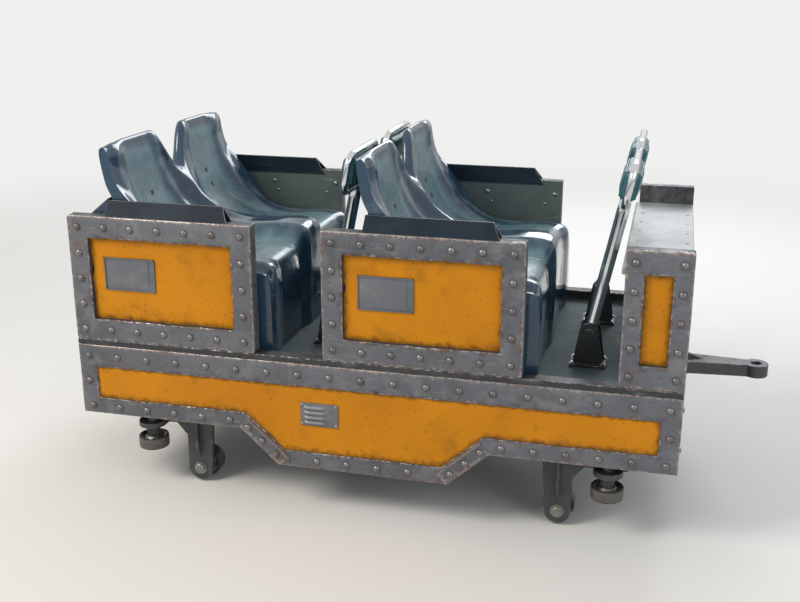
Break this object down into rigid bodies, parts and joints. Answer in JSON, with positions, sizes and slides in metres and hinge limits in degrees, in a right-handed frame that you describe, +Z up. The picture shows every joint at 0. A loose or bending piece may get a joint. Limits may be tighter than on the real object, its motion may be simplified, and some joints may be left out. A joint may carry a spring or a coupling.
{
  "type": "roller coaster car",
  "caption": "Mine-train roller coaster car with riveted yellow side panels, double bucket seats, single lap bars and wheel carriers for tube rails.",
  "frame": {"origin": "on the floor below the middle of the car, at the underside of the upstop wheels", "axes": "+X forward along the car, +Y to the left, +Z up"},
  "size_m": [2.426, 0.978, 1.145],
  "materials": {
    "chassis_steel": "satin",
    "bare_steel": "worn",
    "rusty_steel": "rusty",
    "floor_coating": "matte, gritty",
    "dark_steel": "matte",
    "frame_steel": "weathered",
    "yellow_paint": "satin, worn",
    "lining_paint": "satin",
    "coaming_paint": "satin",
    "deck_paint": "satin",
    "seat_shell": "gloss",
    "box_plastic": "matte",
    "chrome": "polished",
    "pad_vinyl": "satin",
    "wheel_tread": "satin"
  },
  "bodies": {
    "car": {"chassis_frame": "chassis_steel", "brake_fin": "bare_steel", "end_plates": "rusty_steel", "floor_pan": "floor_coating", "thresholds": "dark_steel", "skirt_frames": "frame_steel", "skirt_bands": "yellow_paint", "panel_front_left": "frame_steel", "panel_front_right": "frame_steel", "panel_rear_left": "frame_steel", "panel_rear_right": "frame_steel", "nose_panels": "frame_steel", "side_inlays": "yellow_paint", "side_linings": "lining_paint", "coamings": "coaming_paint", "front_bulkhead": "floor_coating", "front_deck": "deck_paint", "rear_bulkhead": "seat_shell", "junction_box": "box_plastic", "seat_row_front": "seat_shell", "seat_row_rear": "seat_shell", "lap_bar_pedestals": "dark_steel", "front_coupler": "chassis_steel", "rear_coupler": "chassis_steel"},
    "front_axle": {"front_axle": "chassis_steel"},
    "rear_axle": {"rear_axle": "chassis_steel"},
    "lap_bar_front_left": {"lap_bar_front_left": "chrome", "lap_pad_front_left": "pad_vinyl"},
    "lap_bar_front_right": {"lap_bar_front_right": "chrome", "lap_pad_front_right": "pad_vinyl"},
    "lap_bar_rear_left": {"lap_bar_rear_left": "chrome", "lap_pad_rear_left": "pad_vinyl"},
    "lap_bar_rear_right": {"lap_bar_rear_right": "chrome", "lap_pad_rear_right": "pad_vinyl"},
    "running_wheel_front_left": {"running_wheel_front_left": "wheel_tread"},
    "guide_wheel_front_left": {"guide_wheel_front_left": "wheel_tread"},
    "upstop_wheel_front_left": {"upstop_wheel_front_left": "wheel_tread"},
    "running_wheel_front_right": {"running_wheel_front_right": "wheel_tread"},
    "guide_wheel_front_right": {"guide_wheel_front_right": "wheel_tread"},
    "upstop_wheel_front_right": {"upstop_wheel_front_right": "wheel_tread"},
    "running_wheel_rear_left": {"running_wheel_rear_left": "wheel_tread"},
    "guide_wheel_rear_left": {"guide_wheel_rear_left": "wheel_tread"},
    "upstop_wheel_rear_left": {"upstop_wheel_rear_left": "wheel_tread"},
    "running_wheel_rear_right": {"running_wheel_rear_right": "wheel_tread"},
    "guide_wheel_rear_right": {"guide_wheel_rear_right": "wheel_tread"},
    "upstop_wheel_rear_right": {"upstop_wheel_rear_right": "wheel_tread"}
  },
  "joints": [
    {"name": "front_axle_swivel", "type": "hinge", "parent": "car", "child": "front_axle", "pos_m": [0.6, 0, 0.31], "axis": [0, 0, 1], "range_deg": [-4, 4]},
    {"name": "rear_axle_swivel", "type": "hinge", "parent": "car", "child": "rear_axle", "pos_m": [-0.6, 0, 0.31], "axis": [0, 0, 1], "range_deg": [-4, 4]},
    {"name": "lap_bar_front_left_pivot", "type": "hinge", "parent": "car", "child": "lap_bar_front_left", "pos_m": [0.66, 0.214, 0.6], "axis": [0, -1, 0], "range_deg": [0, 46]},
    {"name": "lap_bar_front_right_pivot", "type": "hinge", "parent": "car", "child": "lap_bar_front_right", "pos_m": [0.66, -0.214, 0.6], "axis": [0, -1, 0], "range_deg": [0, 46]},
    {"name": "lap_bar_rear_left_pivot", "type": "hinge", "parent": "car", "child": "lap_bar_rear_left", "pos_m": [-0.17, 0.214, 0.6], "axis": [0, -1, 0], "range_deg": [0, 46]},
    {"name": "lap_bar_rear_right_pivot", "type": "hinge", "parent": "car", "child": "lap_bar_rear_right", "pos_m": [-0.17, -0.214, 0.6], "axis": [0, -1, 0], "range_deg": [0, 46]},
    {"name": "running_wheel_front_left_spin", "type": "hinge", "parent": "front_axle", "child": "running_wheel_front_left", "pos_m": [0.75, 0.3, 0.305], "axis": [0, 1, 0], "continuous": true},
    {"name": "guide_wheel_front_left_spin", "type": "hinge", "parent": "front_axle", "child": "guide_wheel_front_left", "pos_m": [0.75, 0.4, 0.152], "axis": [0, 0, 1], "continuous": true},
    {"name": "upstop_wheel_front_left_spin", "type": "hinge", "parent": "front_axle", "child": "upstop_wheel_front_left", "pos_m": [0.6, 0.3, 0.05], "axis": [0, 1, 0], "continuous": true},
    {"name": "running_wheel_front_right_spin", "type": "hinge", "parent": "front_axle", "child": "running_wheel_front_right", "pos_m": [0.75, -0.3, 0.305], "axis": [0, 1, 0], "continuous": true},
    {"name": "guide_wheel_front_right_spin", "type": "hinge", "parent": "front_axle", "child": "guide_wheel_front_right", "pos_m": [0.75, -0.4, 0.152], "axis": [0, 0, 1], "continuous": true},
    {"name": "upstop_wheel_front_right_spin", "type": "hinge", "parent": "front_axle", "child": "upstop_wheel_front_right", "pos_m": [0.6, -0.3, 0.05], "axis": [0, 1, 0], "continuous": true},
    {"name": "running_wheel_rear_left_spin", "type": "hinge", "parent": "rear_axle", "child": "running_wheel_rear_left", "pos_m": [-0.75, 0.3, 0.305], "axis": [0, 1, 0], "continuous": true},
    {"name": "guide_wheel_rear_left_spin", "type": "hinge", "parent": "rear_axle", "child": "guide_wheel_rear_left", "pos_m": [-0.75, 0.4, 0.152], "axis": [0, 0, 1], "continuous": true},
    {"name": "upstop_wheel_rear_left_spin", "type": "hinge", "parent": "rear_axle", "child": "upstop_wheel_rear_left", "pos_m": [-0.6, 0.3, 0.05], "axis": [0, 1, 0], "continuous": true},
    {"name": "running_wheel_rear_right_spin", "type": "hinge", "parent": "rear_axle", "child": "running_wheel_rear_right", "pos_m": [-0.75, -0.3, 0.305], "axis": [0, 1, 0], "continuous": true},
    {"name": "guide_wheel_rear_right_spin", "type": "hinge", "parent": "rear_axle", "child": "guide_wheel_rear_right", "pos_m": [-0.75, -0.4, 0.152], "axis": [0, 0, 1], "continuous": true},
    {"name": "upstop_wheel_rear_right_spin", "type": "hinge", "parent": "rear_axle", "child": "upstop_wheel_rear_right", "pos_m": [-0.6, -0.3, 0.05], "axis": [0, 1, 0], "continuous": true}
  ]
}
